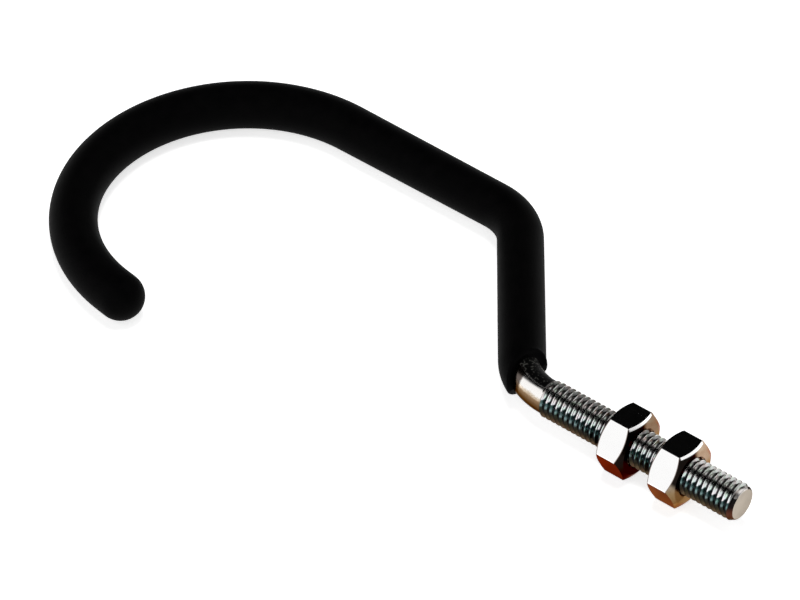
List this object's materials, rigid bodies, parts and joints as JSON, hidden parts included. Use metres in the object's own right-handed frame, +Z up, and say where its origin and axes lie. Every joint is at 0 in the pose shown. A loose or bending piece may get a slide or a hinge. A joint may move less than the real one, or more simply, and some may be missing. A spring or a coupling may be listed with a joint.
{
  "type": "screw hook",
  "caption": "Black vinyl-coated steel storage hook with a cranked neck, a round open bight and a machine-threaded shank whose hexagon nuts clamp it through a panel.",
  "frame": {"origin": "middle of the bounding box's underside, on the surface that the hook lies on", "axes": "+X along the shank towards the free end of its thread, +Y across the hook towards the arm, +Z up"},
  "size_m": [0.1728, 0.0802, 0.0139],
  "materials": {
    "zinc_rod": "bright zinc plating over drawn steel",
    "zinc_nut": "bright zinc plating",
    "black_vinyl": "satin dipped vinyl"
  },
  "bodies": {
    "hook": {"hook_rod": "zinc_rod", "vinyl_sleeve": "black_vinyl"},
    "inner_nut": {"inner_nut": "zinc_nut"},
    "outer_nut": {"outer_nut": "zinc_nut"}
  },
  "joints": [
    {"name": "inner_nut_travel", "type": "slide", "parent": "hook", "child": "inner_nut", "axis": [0.9999, 0, 0.013], "range_m": [-0.015, 0.0025]},
    {"name": "outer_nut_travel", "type": "slide", "parent": "hook", "child": "outer_nut", "axis": [0.9999, 0, 0.013], "range_m": [-0.0025, 0.01125]}
  ]
}
